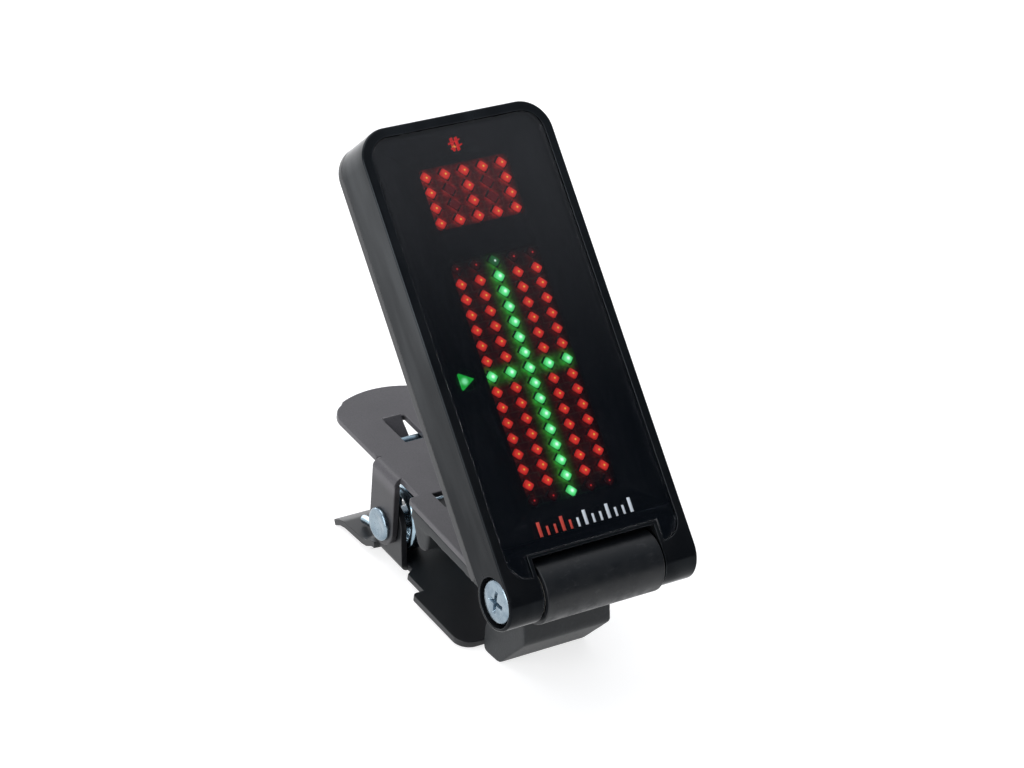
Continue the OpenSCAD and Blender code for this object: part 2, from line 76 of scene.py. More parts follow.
# head frame: X right, -Y out of the display, Z up the head, from the hinge axis
HEAD = Matrix.Translation(HINGE) @ Matrix.Rotation(-HEAD_LEAN, 4, "X")
# clip frame: both plates lie level in it, from the hinge axis
CLIP = Matrix.Translation(HINGE) @ Matrix.Rotation(CLIP_SLOPE, 4, "X")
PIVOT_IN_CLIP = CLIP.inverted() @ PIVOT


def span(points):
    """Lowest and highest corner of the box round the points."""
    low = Vector(min(point[i] for point in points) for i in range(3))
    high = Vector(max(point[i] for point in points) for i in range(3))
    return low, high


def local_box(node, place=HEAD):
    """Lowest and highest corner of a CAD node, in the frame of place."""
    inverse = place.inverted()
    return span([inverse @ vertex.co for vertex in frame["nodes"][node].data.vertices])


HOUSING_LOW, HOUSING_HIGH = local_box("front_housing")
COVER_LOW = local_box("back_cover")[0]
LENS_LOW, LENS_HIGH = local_box("lens_window")
BUTTON_LOW, BUTTON_HIGH = local_box("power_button")
SIGN_LOW, SIGN_HIGH = local_box("sharp_sign_lamp")
BOARD_FACE = local_box("main_board")[0].y

# the lamp matrix: rows count down from the top one
COLUMN_PITCH = 2.54 * MM
ROW_PITCH = 1.837 * MM
TOP_ROW = 48.13 * MM
BRIGHT_ROW = 13
FIRST_GREEN_ROW = 6
LAST_ROW = 21
# where a lamp's glowing die sits, off the lamp's middle
DIE = (0.05 * MM, -0.02 * MM)

# ---- camera, lights and floor ------------------------------------------------


def aim_camera():
    turn = math.radians(35.085)
    drop = math.radians(28.384)
    roll = math.radians(4.41)
    forward = Vector((math.sin(turn) * math.cos(drop), math.cos(turn) * math.cos(drop), -math.sin(drop)))
    level_right = Vector((math.cos(turn), -math.sin(turn), 0))
    level_up = level_right.cross(forward)
    right = level_right * math.cos(roll) + level_up * math.sin(roll)
    up = right.cross(forward)
    camera = bpy.data.objects.new("camera", bpy.data.cameras.new("camera"))
    camera.data.sensor_width = 36
    camera.data.lens = 118.79  # fitted to the object's outline, like the angles
    camera.data.clip_start = 0.01
    camera.matrix_world = Matrix((right, up, -forward)).transposed().to_4x4()
    camera.location = (-0.19471, -0.26873, 0.21329)
    bpy.context.collection.objects.link(camera)
    bpy.context.scene.camera = camera


def softbox(name, place, target, size, power, colour=(1, 1, 1)):
    light = bpy.data.lights.new(name, "AREA")
    light.shape = "RECTANGLE"
    light.size, light.size_y = size
    light.energy = power
    light.color = colour
    lamp = bpy.data.objects.new(name, light)
    lamp.location = place
    lamp.rotation_euler = (Vector(target) - Vector(place)).to_track_quat("-Z", "Y").to_euler()
    bpy.context.collection.objects.link(lamp)


def light_studio():
    middle = (0, 0.01, 0.02)
    softbox("overhead_softbox", (-0.1, 0.35, 0.75), middle, (0.7, 0.5), 3.0)
    softbox("left_softbox", (-0.62, -0.1, 0.24), middle, (0.5, 0.42), 3.0)
    softbox("front_fill", (0.1, -0.8, 0.5), middle, (0.5, 0.3), 0.7)
    softbox("back_strip", (0.05, 0.9, 0.16), middle, (0.9, 0.25), 2.0)


def light_room():
    """A dark room in front, opening to grey overhead, and white walls at the back."""
    world = bpy.data.worlds.new("studio")
    bpy.context.scene.world = world
    world.use_nodes = True
    nodes = world.node_tree.nodes
    links = world.node_tree.links
    direction = nodes.new("ShaderNodeTexCoord")
    split = nodes.new("ShaderNodeSeparateXYZ")
    links.new(direction.outputs["Generated"], split.inputs[0])

    def ramp(axis, zero, one):
        node = nodes.new("ShaderNodeMapRange")
        node.interpolation_type = "SMOOTHSTEP"
        node.inputs["From Min"].default_value = zero
        node.inputs["From Max"].default_value = one
        links.new(split.outputs[axis], node.inputs["Value"])
        return node.outputs["Result"]

    def mixed(share, colour):
        node = nodes.new("ShaderNodeMix")
        node.data_type = "RGBA"
        node.inputs[6].default_value = colour
        links.new(share, node.inputs[0])
        return node

    dark = nodes.new("ShaderNodeMath")
    dark.operation = "MAXIMUM"
    links.new(ramp("Z", 0.66, 0.56), dark.inputs[0])
    links.new(ramp("Y", -0.475, -0.55), dark.inputs[1])
    room = mixed(dark.outputs[0], (0.40, 0.43, 0.48, 1))
    room.inputs[7].default_value = (0.045, 0.062, 0.09, 1)
    sky = mixed(ramp("Y", 0.45, -0.3), (0.95, 0.96, 1.0, 1))
    links.new(room.outputs[2], sky.inputs[7])
    links.new(sky.outputs[2], nodes["Background"].inputs["Color"])
    nodes["Background"].inputs["Strength"].default_value = 1.0


# ---- materials ---------------------------------------------------------------


class Finish:
    """A node material under construction. Its patterns use the coordinates of place, in metres."""

    def __init__(self, name, place=HEAD, **sockets):
        self.material = bpy.data.materials.new(name)
        self.material.use_nodes = True
        self.nodes = self.material.node_tree.nodes
        self.links = self.material.node_tree.links
        self.shader = self.nodes["Principled BSDF"]
        for socket, value in sockets.items():
            self.shader.inputs[socket.replace("_", " ")].default_value = value
        coordinates = self.nodes.new("ShaderNodeTexCoord").outputs["Object"]
        mapping = self.nodes.new("ShaderNodeMapping")
        inverse = place.inverted()
        mapping.inputs["Location"].default_value = inverse.to_translation()
        mapping.inputs["Rotation"].default_value = inverse.to_euler()
        self.links.new(coordinates, mapping.inputs["Vector"])
        self.place = mapping.outputs[0]

    def feed(self, value, socket):
        """Links an output, or sets a constant, on a socket."""
        if isinstance(value, bpy.types.NodeSocket):
            self.links.new(value, socket)
        else:
            socket.default_value = value

    def to(self, socket, value):
        self.feed(value, self.shader.inputs[socket])

    def fed(self, socket):
        """The output that feeds a socket of the shader."""
        return self.shader.inputs[socket].links[0].from_socket

    def noise(self, size, detail=3.0, roughness=0.55, stretch=(1, 1, 1)):
        """Noise whose blobs are about that size."""
        scaled = self.nodes.new("ShaderNodeMapping")
        scaled.inputs["Scale"].default_value = stretch
        self.links.new(self.place, scaled.inputs["Vector"])
        node = self.nodes.new("ShaderNodeTexNoise")
        node.inputs["Scale"].default_value = 1 / size
        node.inputs["Detail"].default_value = detail
        node.inputs["Roughness"].default_value = roughness
        self.links.new(scaled.outputs[0], node.inputs["Vector"])
        return node.outputs["Fac"]

    def cells(self, size):
        """Pebbled pattern of cells about that size."""
        node = self.nodes.new("ShaderNodeTexVoronoi")
        node.inputs["Scale"].default_value = 1 / size
        self.links.new(self.place, node.inputs["Vector"])
        return node.outputs["Distance"]

    def math(self, operation, a, b=0.0):
        node = self.nodes.new("ShaderNodeMath")
        node.operation = operation
        self.feed(a, node.inputs[0])
        self.feed(b, node.inputs[1])
        return node.outputs[0]

    def times(self, a, b):
        return self.math("MULTIPLY", a, b)

    def plus(self, a, b):
        return self.math("ADD", a, b)

    def minus(self, a, b):
        return self.math("SUBTRACT", a, b)

    def distance(self, a, b):
        """Distance from the origin, at a and b on two axes."""
        return self.math("SQRT", self.plus(self.times(a, a), self.times(b, b)))

    def step(self, value, low, high, start=0.0, end=1.0):
        """Smooth change from start to end as value goes from low to high."""
        node = self.nodes.new("ShaderNodeMapRange")
        node.interpolation_type = "SMOOTHSTEP"
        node.inputs["From Min"].default_value = low
        node.inputs["From Max"].default_value = high
        node.inputs["To Min"].default_value = start
        node.inputs["To Max"].default_value = end
        self.links.new(value, node.inputs["Value"])
        return node.outputs["Result"]

    def mix(self, share, a, b):
        node = self.nodes.new("ShaderNodeMix")
        node.data_type = "RGBA"
        self.feed(share, node.inputs[0])
        for value, socket in ((a, node.inputs[6]), (b, node.inputs[7])):
            if isinstance(value, tuple):
                value = (*value, 1.0)
            self.feed(value, socket)
        return node.outputs[2]

    def axis(self, name):
        node = self.nodes.new("ShaderNodeSeparateXYZ")
        self.links.new(self.place, node.inputs[0])
        return node.outputs[name]

    def edges(self, radius):
        """1 on edges rounder than that radius, 0 on flats."""
        rounded = self.nodes.new("ShaderNodeBevel")
        rounded.samples = 4
        rounded.inputs["Radius"].default_value = radius
        surface = self.nodes.new("ShaderNodeNewGeometry")
        likeness = self.nodes.new("ShaderNodeVectorMath")
        likeness.operation = "DOT_PRODUCT"
        self.links.new(rounded.outputs[0], likeness.inputs[0])
        self.links.new(surface.outputs["Normal"], likeness.inputs[1])
        return self.step(likeness.outputs["Value"], 0.97, 0.75)

    def bump(self, height, depth, strength=1.0):
        """Relief of that depth in metres; several calls add up."""
        node = self.nodes.new("ShaderNodeBump")
        node.inputs["Strength"].default_value = strength
        node.inputs["Distance"].default_value = depth
        self.links.new(height, node.inputs["Height"])
        if self.shader.inputs["Normal"].is_linked:
            self.links.new(self.fed("Normal"), node.inputs["Normal"])
        self.links.new(node.outputs[0], self.shader.inputs["Normal"])


def gloss_housing():
    finish = Finish("gloss_housing", IOR=1.5, Specular_Tint=(0.80, 0.91, 1.0, 1.0))
    smudge = finish.noise(6 * MM, detail=5)
    drawn = finish.noise(4 * MM, detail=3, stretch=(1, 1, 0.18))
    # Painted shade in the reflection: the shell reflects less towards the hinge end, standing in for the
    # shaded floor it mirrors.
    reflection_shade = finish.step(finish.axis("Z"), 2 * MM, 46 * MM, 0.3, 0.95)
    level = finish.times(finish.step(drawn, 0.35, 0.68, 0.15, 0.32), reflection_shade)
    # Edges paler and more reflective: a painted highlight along them, with a little rubbed wear.
    edge_wear_and_highlight = finish.edges(0.16 * MM)
    finish.to("Specular IOR Level", finish.plus(level, finish.times(edge_wear_and_highlight, 0.7)))
    colour = finish.mix(finish.step(smudge, 0.4, 0.7), (0.006, 0.0068, 0.008), (0.009, 0.0098, 0.011))
    finish.to("Base Color", finish.mix(edge_wear_and_highlight, colour, (0.045, 0.048, 0.052)))
    finish.to("Roughness", finish.step(smudge, 0.3, 0.75, 0.07, 0.14))
    finish.bump(finish.noise(0.9 * MM, detail=2), 0.0012 * MM)
    return finish.material


def smoked_lens():
    finish = Finish("smoked_lens", IOR=1.49, Transmission_Weight=1.0)
    smudge = finish.noise(9 * MM, detail=4)
    tint = finish.mix(finish.step(smudge, 0.35, 0.7), (0.42, 0.42, 0.44), (0.38, 0.385, 0.41))
    finish.to("Base Color", tint)
    finish.to("Roughness", finish.step(smudge, 0.4, 0.8, 0.015, 0.04))
    finish.to("Specular IOR Level", finish.step(finish.edges(0.14 * MM), 0, 1, 0.5, 1.0))
    return finish.material


def printed_film():
    finish = Finish("printed_film", Roughness=0.6)
    speck = finish.noise(0.25 * MM)
    finish.to("Base Color", finish.mix(speck, (0.002, 0.0022, 0.0026), (0.005, 0.0054, 0.006)))
    finish.bump(speck, 0.004 * MM)
    return finish.material


def off_grid(finish, value, pitch):
    """How far a value is from the nearest multiple of pitch."""
    nearest = finish.math("ROUND", finish.math("DIVIDE", value, pitch))
    return finish.minus(value, finish.times(nearest, pitch))


def lamp_distance(finish, across=0.0, along=0.0):
    """Distance to the nearest lamp's middle, shifted by across and along."""
    x = finish.minus(finish.axis("X"), across)
    z = finish.minus(finish.minus(finish.axis("Z"), along), TOP_ROW)
    return finish.distance(off_grid(finish, x, COLUMN_PITCH), off_grid(finish, z, ROW_PITCH))


def row_height(row):
    return TOP_ROW - row * ROW_PITCH


def circuit_board():
    """Dark solder mask with fine tracks, lit by the lamps that stand on it."""
    finish = Finish("circuit_board", Roughness=0.42, Emission_Strength=1.0)
    track = finish.nodes.new("ShaderNodeTexBrick")
    track.inputs["Scale"].default_value = 1.0
    track.inputs["Brick Width"].default_value = 1.27 * MM
    track.inputs["Row Height"].default_value = 0.9 * MM
    track.inputs["Mortar Size"].default_value = 0.09 * MM
    track.inputs["Mortar Smooth"].default_value = 0.2
    turned = finish.nodes.new("ShaderNodeMapping")
    turned.inputs["Rotation"].default_value = (math.radians(90), 0, 0)
    finish.links.new(finish.place, turned.inputs["Vector"])
    finish.links.new(turned.outputs[0], track.inputs["Vector"])
    copper = track.outputs["Fac"]
    mottled = finish.noise(1.2 * MM)
    mask = finish.mix(mottled, (0.006, 0.016, 0.011), (0.01, 0.024, 0.017))
    finish.to("Base Color", finish.mix(copper, mask, (0.02, 0.06, 0.035)))
    finish.bump(copper, 0.02 * MM)

    x = finish.math("ABSOLUTE", finish.axis("X"))
    z = finish.axis("Z")
    speckle = finish.step(finish.noise(0.5 * MM, detail=4), 0.3, 0.75, 0.55, 1.3)
    near = finish.step(lamp_distance(finish), 1.25 * MM, 0.4 * MM)
    sides = finish.step(x, 6.7 * MM, 5.2 * MM)
    below_gap = finish.step(z, row_height(5.2), row_height(7.2))
    foot = finish.step(z, row_height(LAST_ROW + 0.4), row_height(LAST_ROW - 1.4))
    lower_field = finish.times(below_gap, foot)
    above_gap = finish.step(z, row_height(3.8), row_height(3.0))
    top = finish.step(z, row_height(-0.95), row_height(-0.2))
    upper_field = finish.times(above_gap, top)
    fields = finish.plus(finish.times(lower_field, 0.33), upper_field)
    field = finish.times(sides, fields)
    column = finish.step(x, 1.8 * MM, 0.2 * MM)
    low_column = finish.times(column, lower_field)
    from_row = finish.math("ABSOLUTE", finish.minus(z, row_height(BRIGHT_ROW)))
    bright_row = finish.times(finish.step(from_row, 1.5 * MM, 0.15 * MM), sides)
    green = finish.math("MAXIMUM", low_column, bright_row)
    shine = finish.times(speckle, finish.plus(finish.times(near, 0.78), 0.22))
    red_light = finish.mix(finish.times(field, shine), (0, 0, 0), (0.5, 0.016, 0.016))
    green_light = finish.times(green, shine)
    finish.to("Emission Color", finish.mix(green_light, red_light, (0.014, 0.8, 0.06)))
    return finish.material


def lamp_resin(name, rim, body, core, strength, spread):
    """Glowing resin, dimmer towards its rim, with the die as a hot point of that spread off its middle."""
    finish = Finish(name, Roughness=0.25, Emission_Strength=strength, Base_Color=(*rim, 1.0))
    heat = finish.step(lamp_distance(finish, *DIE), spread, 0.02 * MM)
    inside = finish.step(lamp_distance(finish), 0.62 * MM, 0.28 * MM)
    mottle = finish.step(finish.noise(0.3 * MM, detail=3), 0.3, 0.7, 0.75, 1.0)
    glow = finish.mix(finish.times(inside, mottle), rim, body)
    near_top = finish.step(finish.axis("Y"), BOARD_FACE - 0.12 * MM, BOARD_FACE - 0.34 * MM, 0.5, 1.0)
    lit = finish.mix(heat, glow, core)
    finish.to("Emission Color", finish.mix(near_top, (0, 0, 0), lit))
    finish.bump(finish.noise(0.3 * MM), 0.01 * MM)
    return finish


def fade_top_row(finish):
    """The topmost lamp of the column only glimmers."""
    dim_above = row_height(FIRST_GREEN_ROW + 0.4)
    full_below = row_height(FIRST_GREEN_ROW + 0.6)
    below = finish.step(finish.axis("Z"), dim_above, full_below)
    full = finish.fed("Emission Color")
    die = finish.step(lamp_distance(finish, *DIE), 0.2 * MM, 0.04 * MM)
    share = finish.math("MAXIMUM", below, finish.step(die, 0, 1, 0.09, 0.8))
    finish.to("Emission Color", finish.mix(share, (0, 0, 0), full))


def fade_spare_lamps(finish):
    """Spare lamps up in the letter window only catch the haze of their neighbours."""
    upper = finish.step(finish.axis("Z"), row_height(5.0), row_height(4.0))
    haze = (0.11, 0.006, 0.008)
    finish.to("Emission Color", finish.mix(upper, finish.fed("Emission Color"), haze))


def glow_from(name, source, reach, edge, core, strength):
    """Lit plastic, brightest in front of its die at source = (x, z)."""
    finish = Finish(name, Roughness=0.3, Base_Color=(*edge, 1.0), Emission_Strength=strength)
    x = finish.minus(finish.axis("X"), source[0])
    z = finish.minus(finish.axis("Z"), source[1])
    near = finish.step(finish.distance(x, z), reach, 0.05 * MM)
    mottle = finish.step(finish.noise(0.3 * MM, detail=3), 0.3, 0.7, 0.8, 1.0)
    finish.to("Emission Color", finish.mix(finish.times(near, mottle), edge, core))
    return finish.material


def ceramic():
    finish = Finish("lamp_ceramic", Roughness=0.5)
    finish.to("Base Color", finish.mix(finish.noise(0.3 * MM), (0.05, 0.045, 0.04), (0.08, 0.07, 0.06)))
    return finish.material


def metal(name, light, dark, roughness, brushed=(1, 1, 1), grain=0.25 * MM, wear=0.0):
    """Plated or bare metal with fine drawn or brushed grain and duller patches."""
    finish = Finish(name, Metallic=1.0)
    patches = finish.noise(1.6 * MM, detail=4)
    lines = finish.noise(grain, detail=4, stretch=brushed)
    colour = finish.mix(finish.step(patches, 0.3, 0.72), light, dark)
    if wear:
        bare = tuple(min(1.0, channel + wear) for channel in light)
        colour = finish.mix(finish.edges(0.1 * MM), colour, bare)
    finish.to("Base Color", colour)
    finish.to("Roughness", finish.step(lines, 0.25, 0.8, roughness * 0.75, roughness * 1.4))
    finish.bump(lines, 0.003 * MM)
    return finish.material


def moulded(name, colour, roughness, grain=0.18 * MM):
    """Moulded plastic or rubber with an eroded surface and paler edges: rubbed wear, and a painted sheen
    along them.
    """
    finish = Finish(name)
    blotch = finish.noise(3.5 * MM, detail=4)
    fine = finish.noise(grain, detail=3, roughness=0.6)
    pale = tuple(channel * 1.35 + 0.002 for channel in colour)
    # Paler edges: rubbed wear, and a painted sheen along them.
    edge = tuple(channel * 1.25 + 0.006 for channel in colour)
    body = finish.mix(finish.step(blotch, 0.3, 0.75), colour, pale)
    finish.to("Base Color", finish.mix(finish.times(finish.edges(0.25 * MM), 0.6), body, edge))
    finish.to("Roughness", finish.step(blotch, 0.3, 0.8, roughness * 0.9, min(1.0, roughness * 1.12)))
    finish.bump(fine, 0.006 * MM)
    return finish.material


def jaw_rubber():
    finish = Finish("jaw_rubber", CLIP, IOR=1.45)
    grain = finish.cells(0.22 * MM)
    fine = finish.noise(0.09 * MM, detail=2)
    dust = finish.step(finish.noise(1.1 * MM, detail=6, roughness=0.7), 0.5, 0.8)
    body = finish.mix(dust, (0.010, 0.0118, 0.0135), (0.030, 0.033, 0.036))
    # Edges paler: rubbed wear, and a painted highlight along the crests.
    edge_wear_and_highlight = finish.times(finish.edges(0.35 * MM), 0.65)
    finish.to("Base Color", finish.mix(edge_wear_and_highlight, body, (0.10, 0.10, 0.105)))
    finish.to("Roughness", finish.step(dust, 0, 1, 0.55, 0.75))
    finish.bump(grain, 0.02 * MM, 0.7)
    finish.bump(fine, 0.006 * MM)
    return finish.material


def clip_paint(name, flat, dark, edge):
    """Fine semi-gloss powder coat, smoother on the rolled barrel than on the flats, whose lighter colour is
    a painted reflection of the overhead light.
    """
    barrel_radius = 3.72 * MM
    finish = Finish(name, CLIP, IOR=1.5)
    z = finish.axis("Z")
    from_hinge = finish.distance(finish.axis("Y"), z)
    rolled = finish.step(from_hinge, barrel_radius + 0.5 * MM, barrel_radius + 0.05 * MM)
    finish.to("Specular IOR Level", finish.step(rolled, 0, 1, 0.4, 0.3))
    cloud = finish.noise(5 * MM, detail=5)
    fine = finish.noise(0.16 * MM, detail=3, roughness=0.6)
    flats = finish.mix(finish.step(cloud, 0.3, 0.72), flat, tuple(channel * 1.2 for channel in flat))
    # Painted shade: the flats darken close to the barrel, where the head shades them.
    shade_near_head = finish.step(from_hinge, barrel_radius + 1 * MM, barrel_radius + 13 * MM, 0.75, 0.0)
    speckled = finish.mix(finish.step(fine, 0.35, 0.7, 0.0, 0.5), flats, dark)
    speckled = finish.mix(shade_near_head, speckled, dark)
    rubbed = finish.step(finish.noise(0.9 * MM, detail=8, roughness=0.8, stretch=(0.5, 1, 1)), 0.52, 0.72)
    satin = finish.mix(rubbed, (0.0075, 0.0088, 0.0105), (0.025, 0.026, 0.028))
    # Painted reflection: the flats keep a lighter colour than the near-black barrel, standing in for the
    # overhead light they reflect.
    body = finish.mix(rolled, speckled, satin)
    # Painted shade: everything below the upper plate darkens towards near-black.
    low_down_shade = finish.step(z, -4.2 * MM, -5.6 * MM, 0.0, 0.65)
    body = finish.mix(low_down_shade, body, (0.008, 0.0085, 0.010))
    # Edges paler: paint rubbed through, and a painted highlight along them.
    edge_wear_and_highlight = finish.times(finish.edges(0.16 * MM), 0.8)
    finish.to("Base Color", finish.mix(edge_wear_and_highlight, body, edge))
    scuffs = finish.step(finish.noise(1.6 * MM, detail=8, roughness=0.75), 0.38, 0.66, 0.3, 0.52)
    finish.to("Roughness", finish.mix(rolled, (0.38, 0.38, 0.38), scuffs))
    finish.bump(fine, 0.004 * MM)
    return finish.material


def white_floor():
    """Pale floor lit from behind and above, so that it falls away to grey in front of the set."""
    towards_back = Matrix.Rotation(math.radians(-35), 4, "Z")
    finish = Finish("studio_floor", towards_back, Roughness=0.9, Emission_Color=(1, 1, 1, 1))
    finish.to("Base Color", finish.mix(finish.noise(0.3), (0.44, 0.44, 0.44), (0.46, 0.46, 0.46)))
    finish.to("Emission Strength", finish.step(finish.axis("Y"), -0.17, -0.045, 0.04, 0.74))
    return finish.material


# ---- mesh building -----------------------------------------------------------

WELD = 0.002 * MM


def new_piece(name, mesh, materials, node=None, body="head", place=HEAD):
    """A piece whose mesh is given in the frame of place. It stands for the CAD node, if one is named."""
    mesh.name = name
    mesh.transform(place)
    for material in materials:
        mesh.materials.append(material)
    piece = bpy.data.objects.new(name, mesh)
    bpy.context.collection.objects.link(piece)
    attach(piece, body)
    if node:
        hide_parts(node)
    return piece


def edge_turn(edge):
    return edge.calc_face_angle(0.0) if len(edge.link_faces) == 2 else 0.0


def flat_group(face, seen):
    """The faces that lie in one plane with this one and touch it."""
    group = [face]
    seen.add(face)
    for member in group:
        for edge in member.edges:
            for other in edge.link_faces:
                if other not in seen and edge_turn(edge) < math.radians(1):
                    seen.add(other)
                    group.append(other)
    return group


def walk(after, start, end):
    """Corners met going round a border from start to end; once round when they are the same corner."""
    corners = [start]
    vertex = after[start]
    while vertex is not end:
        corners.append(vertex)
        vertex = after[vertex]
    if end is not start:
        corners.append(end)
    return corners


def loop_span(corners):
    return span([vertex.co for vertex in corners])


def border_loops(group):
    """The outline and the holes of a flat group, and the corner that follows each one."""
    members = set(group)
    after = {}
    for face in group:
        for loop in face.loops:
            if not members.issuperset(loop.edge.link_faces):
                if loop.vert in after:
                    return [], [], {}
                after[loop.vert] = loop.link_loop_next.vert
    loops = []
    left = dict.fromkeys(after)
    while left:
        start = next(iter(left))
        loop = walk(after, start, start)
        loops.append(loop)
        for vertex in loop:
            del left[vertex]
    loops.sort(key=lambda loop: (loop_span(loop)[0] - loop_span(loop)[1]).length, reverse=True)
    return loops[0], loops[1:], after


def bridged_faces(outline, holes, after):
    """Two faces that cover a flat area with holes and meet on short bridges from hole to hole."""
    low, high = loop_span(outline)
    long_way = max(range(3), key=lambda i: high[i] - low[i])
    holes.sort(key=lambda hole: round(sum(loop_span(hole), Vector())[long_way], 4))
    used = set()
    bridges = []
    chain = [outline, *holes, outline]
    for first, second in zip(chain, chain[1:]):
        pairs = ((a, b) for a in first if a not in used for b in second if b not in used)
        pair = min(pairs, key=lambda ends: (ends[0].co - ends[1].co).length_squared)
        used.update(pair)
        bridges.append(pair)
    one_side = walk(after, bridges[-1][1], bridges[0][0])
    other_side = walk(after, bridges[0][0], bridges[-1][1])
    for (_, arrive), (leave, _) in zip(bridges, bridges[1:]):
        one_side += walk(after, arrive, leave)
    for (_, arrive), (leave, _) in reversed(list(zip(bridges, bridges[1:]))):
        other_side += walk(after, leave, arrive)
    return one_side, other_side


def bridge_holes(shape):
    """Redraws the flat areas with holes, whose long thin faces would spoil the rounding of their edges."""
    seen = set()
    groups = [flat_group(face, seen) for face in list(shape.faces) if face not in seen]
    for group in groups:
        if len(group) < 2:
            continue
        outline, holes, after = border_loops(group)
        if not holes:
            continue
        members = set(group)
        inner = {edge for face in group for edge in face.edges if members.issuperset(edge.link_faces)}
        sides = bridged_faces(outline, holes, after)
        bmesh.ops.delete(shape, geom=group, context="FACES_ONLY")
        bmesh.ops.delete(shape, geom=list(inner), context="EDGES")
        for corners in sides:
            shape.faces.new(corners)


def add_copy(shape, mesh, place):
    """Adds a copy of a mesh, moved to place, to a shape."""
    copy = mesh.copy()
    copy.transform(place)
    shape.from_mesh(copy)
    bpy.data.meshes.remove(copy)


def smoothed(shape):
    """The shape with its normals outward and its faces smooth."""
    bmesh.ops.recalc_face_normals(shape, faces=shape.faces)
    for face in shape.faces:
        face.smooth = True
    return shape


def cad_mesh(node, place=HEAD, weld=WELD, bridged=True):
    """A CAD node's mesh, welded, with flat faces whole, in the frame of place."""
    shape = bmesh.new()
    add_copy(shape, frame["nodes"][node].data, place.inverted())
    for layer in list(shape.loops.layers.uv):
        shape.loops.layers.uv.remove(layer)
    bmesh.ops.remove_doubles(shape, verts=shape.verts, dist=weld)
    bmesh.ops.dissolve_limit(shape, angle_limit=math.radians(0.5), verts=shape.verts, edges=shape.edges)
    if bridged:
        bridge_holes(shape)
    for face in shape.faces:
        face.material_index = 0
    return smoothed(shape)


def finished(shape):
    mesh = bpy.data.meshes.new("mesh")
    shape.to_mesh(mesh)
    shape.free()
    return mesh


def weigh_edges(shape, weight):
    """Gives each sharp edge the bevel weight that weight(middle of edge) says."""
    layer = shape.edges.layers.float.new("bevel_weight_edge")
    for edge in shape.edges:
        if edge_turn(edge) > math.radians(25):
            edge[layer] = weight((edge.verts[0].co + edge.verts[1].co) / 2)


def round_edges(piece, width, segments=3, weighted=False):
    bevel = piece.modifiers.new("rounded_edges", "BEVEL")
    bevel.width = width
    bevel.segments = segments
    bevel.use_clamp_overlap = False
    bevel.loop_slide = False
    bevel.limit_method = "WEIGHT" if weighted else "ANGLE"
    bevel.angle_limit = math.radians(28)
    smooth = piece.modifiers.new("smooth_shading", "WEIGHTED_NORMAL")
    smooth.weight = 80
    smooth.keep_sharp = True


def refined(node, name, material, width, segments=2, weld=WELD, body="head", place=HEAD):
    """A CAD node redrawn with edges rounded to that width."""
    mesh = finished(cad_mesh(node, place, weld))
    round_edges(new_piece(name, mesh, [material], node, body, place), width, segments)


def softened(node, body, rubber):
    """A rubber CAD node redrawn with the soft round edges of a moulding."""
    mesh = finished(cad_mesh(node, CLIP))
    piece = new_piece(node + "_moulded", mesh, [rubber], node, body, CLIP)
    remesh = piece.modifiers.new("even_skin", "REMESH")
    remesh.mode = "VOXEL"
    remesh.voxel_size = 0.13 * MM
    remesh.use_smooth_shade = True
    smooth = piece.modifiers.new("soft_edges", "SMOOTH")
    smooth.factor = 0.5
    smooth.iterations = 30


def skin(shape, rings):
    """Faces between each ring of corners and the next; a ring may be a single corner."""
    for first, second in zip(rings, rings[1:]):
        steps = max(len(first), len(second))
        for step in range(steps):
            after = (step + 1) % steps
            corners = [first[step % len(first)], first[after % len(first)],
                       second[after % len(second)], second[step % len(second)]]
            unique = list(dict.fromkeys(corners))
            if len(unique) > 2:
                shape.faces.new(unique)


def turned(outline, steps=64):
    """A solid turned about X, from an outline of (along, radius) points that starts and ends on X."""
    shape = bmesh.new()
    rings = []
    for along, radius in outline:
        if radius <= 0:
            rings.append([shape.verts.new((along, 0, 0))])
            continue
        ring = []
        for step in range(steps):
            angle = 2 * math.pi * step / steps
            ring.append(shape.verts.new((along, radius * math.cos(angle), radius * math.sin(angle))))
        rings.append(ring)
    skin(shape, rings)
    return smoothed(shape)


def arc(centre, radius, start, end, steps=6):
    """Points on an arc, as (along, radius) pairs; angles in degrees."""
    points = []
    for step in range(steps + 1):
        angle = math.radians(start + (end - start) * step / steps)
        points.append((centre[0] + radius * math.cos(angle), centre[1] + radius * math.sin(angle)))
    return points


def cut(shape, cutter):
    """The shape with the cutter's shape taken out, as a mesh."""
    blank = bpy.data.objects.new("blank", finished(shape))
    tool = bpy.data.objects.new("tool", finished(cutter))
    bpy.context.collection.objects.link(blank)
    bpy.context.collection.objects.link(tool)
    boolean = blank.modifiers.new("cut", "BOOLEAN")
    boolean.object = tool
    boolean.solver = "EXACT"
    boolean.use_self = True
    bpy.context.view_layer.update()
    graph = bpy.context.evaluated_depsgraph_get()
    mesh = bpy.data.meshes.new_from_object(blank.evaluated_get(graph))
    bpy.data.objects.remove(tool)
    bpy.data.objects.remove(blank)
    for polygon in mesh.polygons:
        polygon.use_smooth = True
    return mesh


def cross_cutter(surface, depth, reach, wing):
    """A crosshead recess cut along +X from the head's top at x = surface: four tapering wings."""
    shape = bmesh.new()
    for quarter in range(2):
        corners = []
        for x, length, width in ((surface - depth * 0.2, reach * 1.05, wing * 1.06),
                                 (surface + depth, reach * 0.4, wing * 0.6)):
            signs = ((-1, -1), (1, -1), (1, 1), (-1, 1))
            corners.append([Vector((x, side * length, up * width)) for side, up in signs])
        turn = Matrix.Rotation(math.radians(45 + 90 * quarter), 4, "X")
        top = [shape.verts.new(turn @ corner) for corner in corners[0]]
        low = [shape.verts.new(turn @ corner) for corner in corners[1]]
        shape.faces.new(top)
        shape.faces.new(low[::-1])
        for i in range(4):
            shape.faces.new((top[i], low[i], low[(i + 1) % 4], top[(i + 1) % 4]))
    bmesh.ops.recalc_face_normals(shape, faces=shape.faces)
    return shape


